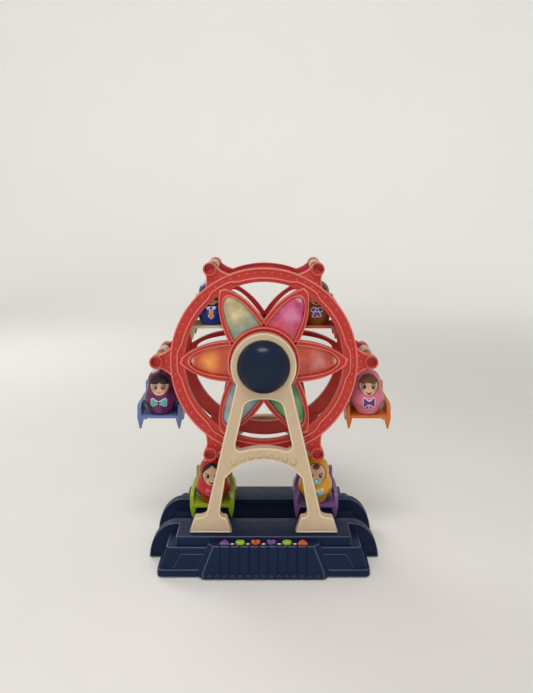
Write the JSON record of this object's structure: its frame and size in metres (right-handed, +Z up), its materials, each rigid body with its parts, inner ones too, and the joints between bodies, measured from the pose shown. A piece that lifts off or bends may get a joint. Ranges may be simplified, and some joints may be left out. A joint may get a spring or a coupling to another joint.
{
  "type": "musical toy ferris wheel",
  "caption": "Motor-turned toy ferris wheel with hanging chairs that hold dolls, lit petal rims, A-frame stands and a battery base with shaped music keys",
  "frame": {"origin": "on the table under the middle of the toy", "axes": "+X to the right seen from the front, +Y to the back, along the axle, +Z up"},
  "size_m": [0.2046, 0.1148, 0.2353],
  "materials": {
    "navy_plastic": "moulded, satin, dark blue",
    "cream_plastic": "moulded, satin, warm cream",
    "red_plastic": "moulded, glossy, warm red",
    "dome_plastic": "polished, very dark blue",
    "clear_lens": "tinted, see-through, lit from behind",
    "purple_plastic": "moulded, satin",
    "lime_plastic": "moulded, satin",
    "orange_plastic": "moulded, satin",
    "orange_red_plastic": "moulded, satin",
    "pale_cream_plastic": "moulded, satin",
    "blue_plastic": "moulded, satin",
    "violet_plastic": "moulded, satin",
    "pink_doll": "painted, lacquered",
    "brown_doll": "painted, lacquered",
    "deep_blue_doll": "painted, lacquered",
    "plum_doll": "painted, lacquered",
    "bright_red_doll": "painted, lacquered",
    "yellow_doll": "painted, lacquered",
    "white_plastic": "natural, self-coloured",
    "black_plastic": "moulded",
    "black_rubber": "silicone sheet",
    "green_coating": "coated",
    "bright_steel": "plated"
  },
  "bodies": {
    "base": {"base_top_shell": "navy_plastic", "base_bottom_plate": "navy_plastic", "battery_door": "navy_plastic", "battery_door_screw": "bright_steel", "base_screw_1": "bright_steel", "base_screw_2": "bright_steel", "base_screw_3": "bright_steel", "base_screw_4": "bright_steel", "battery_1": "green_coating", "battery_2": "green_coating", "battery_3": "green_coating", "battery_contact_left": "bright_steel", "battery_contact_right": "bright_steel", "battery_contact_middle": "bright_steel", "speaker": "black_plastic", "circuit_board": "green_coating", "key_membrane": "black_rubber", "front_frame": "cream_plastic", "rear_frame": "cream_plastic", "front_hub_cap": "dome_plastic", "motor_cover": "navy_plastic", "gearbox_plate": "white_plastic", "gear_motor": "bright_steel", "cover_screw_1": "bright_steel", "cover_screw_2": "bright_steel"},
    "wheel": {"axle": "bright_steel", "axle_clip": "black_plastic", "drive_gear": "white_plastic", "hub_drum": "red_plastic", "light_board": "green_coating", "front_rim": "red_plastic", "rear_rim": "red_plastic", "front_lens": "clear_lens", "rear_lens": "clear_lens"},
    "cabin_1": {"hanger_1": "cream_plastic", "chair_1": "orange_plastic", "doll_1": "pink_doll"},
    "cabin_2": {"hanger_2": "cream_plastic", "chair_2": "orange_red_plastic", "doll_2": "brown_doll"},
    "cabin_3": {"hanger_3": "cream_plastic", "chair_3": "pale_cream_plastic", "doll_3": "deep_blue_doll"},
    "cabin_4": {"hanger_4": "cream_plastic", "chair_4": "blue_plastic", "doll_4": "plum_doll"},
    "cabin_5": {"hanger_5": "cream_plastic", "chair_5": "lime_plastic", "doll_5": "bright_red_doll"},
    "cabin_6": {"hanger_6": "cream_plastic", "chair_6": "violet_plastic", "doll_6": "yellow_doll"},
    "pinion": {"motor_pinion": "bright_steel"},
    "key_1": {"key_1": "purple_plastic"},
    "key_2": {"key_2": "lime_plastic"},
    "key_3": {"key_3": "orange_plastic"},
    "key_4": {"key_4": "purple_plastic"},
    "key_5": {"key_5": "lime_plastic"},
    "key_6": {"key_6": "orange_plastic"},
    "switch": {"power_switch": "black_plastic"}
  },
  "joints": [
    {"name": "wheel_spin", "type": "hinge", "parent": "base", "child": "wheel", "pos_m": [0, 0, 0.157], "axis": [0, 1, 0], "continuous": true},
    {"name": "cabin_1_swing", "type": "hinge", "parent": "wheel", "child": "cabin_1", "pos_m": [0.0844, 0, 0.157], "axis": [0, 1, 0], "continuous": true},
    {"name": "cabin_2_swing", "type": "hinge", "parent": "wheel", "child": "cabin_2", "pos_m": [0.0422, 0, 0.23009], "axis": [0, 1, 0], "continuous": true},
    {"name": "cabin_3_swing", "type": "hinge", "parent": "wheel", "child": "cabin_3", "pos_m": [-0.0422, 0, 0.23009], "axis": [0, 1, 0], "continuous": true},
    {"name": "cabin_4_swing", "type": "hinge", "parent": "wheel", "child": "cabin_4", "pos_m": [-0.0844, 0, 0.157], "axis": [0, 1, 0], "continuous": true},
    {"name": "cabin_5_swing", "type": "hinge", "parent": "wheel", "child": "cabin_5", "pos_m": [-0.0422, 0, 0.08391], "axis": [0, 1, 0], "continuous": true},
    {"name": "cabin_6_swing", "type": "hinge", "parent": "wheel", "child": "cabin_6", "pos_m": [0.0422, 0, 0.08391], "axis": [0, 1, 0], "continuous": true},
    {"name": "pinion_spin", "type": "hinge", "parent": "base", "child": "pinion", "pos_m": [0, 0.0379, 0.1684], "axis": [0, 1, 0], "continuous": true},
    {"name": "key_1_press", "type": "slide", "parent": "base", "child": "key_1", "axis": [0, 0, -1], "range_m": [0, 0.0012], "stiffness_N_per_m": 400},
    {"name": "key_2_press", "type": "slide", "parent": "base", "child": "key_2", "axis": [0, 0, -1], "range_m": [0, 0.0012], "stiffness_N_per_m": 400},
    {"name": "key_3_press", "type": "slide", "parent": "base", "child": "key_3", "axis": [0, 0, -1], "range_m": [0, 0.0012], "stiffness_N_per_m": 400},
    {"name": "key_4_press", "type": "slide", "parent": "base", "child": "key_4", "axis": [0, 0, -1], "range_m": [0, 0.0012], "stiffness_N_per_m": 400},
    {"name": "key_5_press", "type": "slide", "parent": "base", "child": "key_5", "axis": [0, 0, -1], "range_m": [0, 0.0012], "stiffness_N_per_m": 400},
    {"name": "key_6_press", "type": "slide", "parent": "base", "child": "key_6", "axis": [0, 0, -1], "range_m": [0, 0.0012], "stiffness_N_per_m": 400},
    {"name": "switch_slide", "type": "slide", "parent": "base", "child": "switch", "axis": [1, 0, 0], "range_m": [0, 0.004]}
  ],
  "couplings": [
    {"joint": "cabin_1_swing", "follows": "wheel_spin", "ratio": -1},
    {"joint": "cabin_2_swing", "follows": "wheel_spin", "ratio": -1},
    {"joint": "cabin_3_swing", "follows": "wheel_spin", "ratio": -1},
    {"joint": "cabin_4_swing", "follows": "wheel_spin", "ratio": -1},
    {"joint": "cabin_5_swing", "follows": "wheel_spin", "ratio": -1},
    {"joint": "cabin_6_swing", "follows": "wheel_spin", "ratio": -1},
    {"joint": "pinion_spin", "follows": "wheel_spin", "ratio": -2.8}
  ]
}
